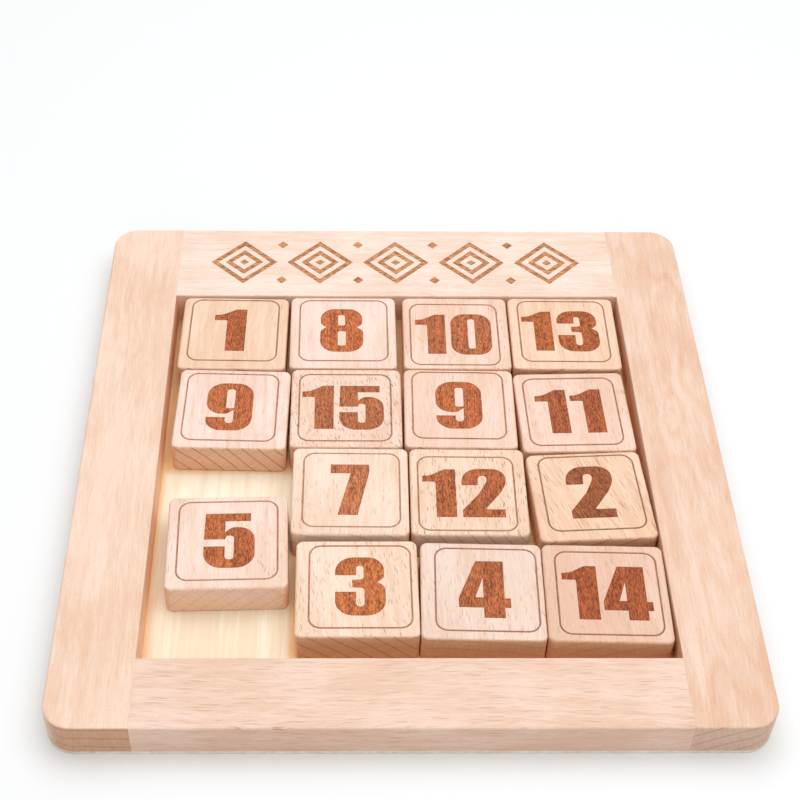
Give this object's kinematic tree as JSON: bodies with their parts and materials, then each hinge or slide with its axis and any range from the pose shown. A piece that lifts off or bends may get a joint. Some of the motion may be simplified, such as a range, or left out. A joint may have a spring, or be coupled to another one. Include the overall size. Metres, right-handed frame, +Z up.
{
  "type": "sliding tile puzzle",
  "caption": "Shallow wooden tray with square numbered wooden tiles that slide one at a time into the free space.",
  "frame": {"origin": "underside of the base board, at the middle of the tray's outline", "axes": "+X along the rails to the right as the numbers read, +Y from the front rail to the back rail, +Z up out of the tray"},
  "size_m": [0.167, 0.174, 0.0105],
  "materials": {
    "frame_beech": "sanded, unvarnished",
    "rail_beech": "sanded, unvarnished",
    "base_board_wood": "matt, unvarnished",
    "tile_beech": "sanded, burnt numerals"
  },
  "bodies": {
    "tray": {"left_stile": "frame_beech", "right_stile": "frame_beech", "back_rail": "rail_beech", "front_rail": "rail_beech", "base_board": "base_board_wood"},
    "tile_01": {"tile_01": "tile_beech"},
    "tile_02": {"tile_02": "tile_beech"},
    "tile_03": {"tile_03": "tile_beech"},
    "tile_04": {"tile_04": "tile_beech"},
    "tile_05": {"tile_05": "tile_beech"},
    "tile_06": {"tile_06": "tile_beech"},
    "tile_07": {"tile_07": "tile_beech"},
    "tile_08": {"tile_08": "tile_beech"},
    "tile_09": {"tile_09": "tile_beech"},
    "tile_10": {"tile_10": "tile_beech"},
    "tile_11": {"tile_11": "tile_beech"},
    "tile_12": {"tile_12": "tile_beech"},
    "tile_13": {"tile_13": "tile_beech"},
    "tile_14": {"tile_14": "tile_beech"},
    "tile_15": {"tile_15": "tile_beech"}
  },
  "joints": [
    {"name": "tile_01_lift_out", "type": "slide", "parent": "tray", "child": "tile_01", "axis": [0, 0, 1], "range_m": [0, 0.03]},
    {"name": "tile_02_lift_out", "type": "slide", "parent": "tray", "child": "tile_02", "axis": [0, 0, 1], "range_m": [0, 0.03]},
    {"name": "tile_03_lift_out", "type": "slide", "parent": "tray", "child": "tile_03", "axis": [0, 0, 1], "range_m": [0, 0.03]},
    {"name": "tile_04_lift_out", "type": "slide", "parent": "tray", "child": "tile_04", "axis": [0, 0, 1], "range_m": [0, 0.03]},
    {"name": "tile_05_slide", "type": "slide", "parent": "tray", "child": "tile_05", "axis": [0, 1, 0], "range_m": [-0.0195, 0.0153]},
    {"name": "tile_06_lift_out", "type": "slide", "parent": "tray", "child": "tile_06", "axis": [0, 0, 1], "range_m": [0, 0.03]},
    {"name": "tile_07_lift_out", "type": "slide", "parent": "tray", "child": "tile_07", "axis": [0, 0, 1], "range_m": [0, 0.03]},
    {"name": "tile_08_lift_out", "type": "slide", "parent": "tray", "child": "tile_08", "axis": [0, 0, 1], "range_m": [0, 0.03]},
    {"name": "tile_09_slide", "type": "slide", "parent": "tray", "child": "tile_09", "axis": [0, 1, 0], "range_m": [-0.015, 0]},
    {"name": "tile_10_lift_out", "type": "slide", "parent": "tray", "child": "tile_10", "axis": [0, 0, 1], "range_m": [0, 0.03]},
    {"name": "tile_11_lift_out", "type": "slide", "parent": "tray", "child": "tile_11", "axis": [0, 0, 1], "range_m": [0, 0.03]},
    {"name": "tile_12_lift_out", "type": "slide", "parent": "tray", "child": "tile_12", "axis": [0, 0, 1], "range_m": [0, 0.03]},
    {"name": "tile_13_lift_out", "type": "slide", "parent": "tray", "child": "tile_13", "axis": [0, 0, 1], "range_m": [0, 0.03]},
    {"name": "tile_14_lift_out", "type": "slide", "parent": "tray", "child": "tile_14", "axis": [0, 0, 1], "range_m": [0, 0.03]},
    {"name": "tile_15_lift_out", "type": "slide", "parent": "tray", "child": "tile_15", "axis": [0, 0, 1], "range_m": [0, 0.03]}
  ]
}
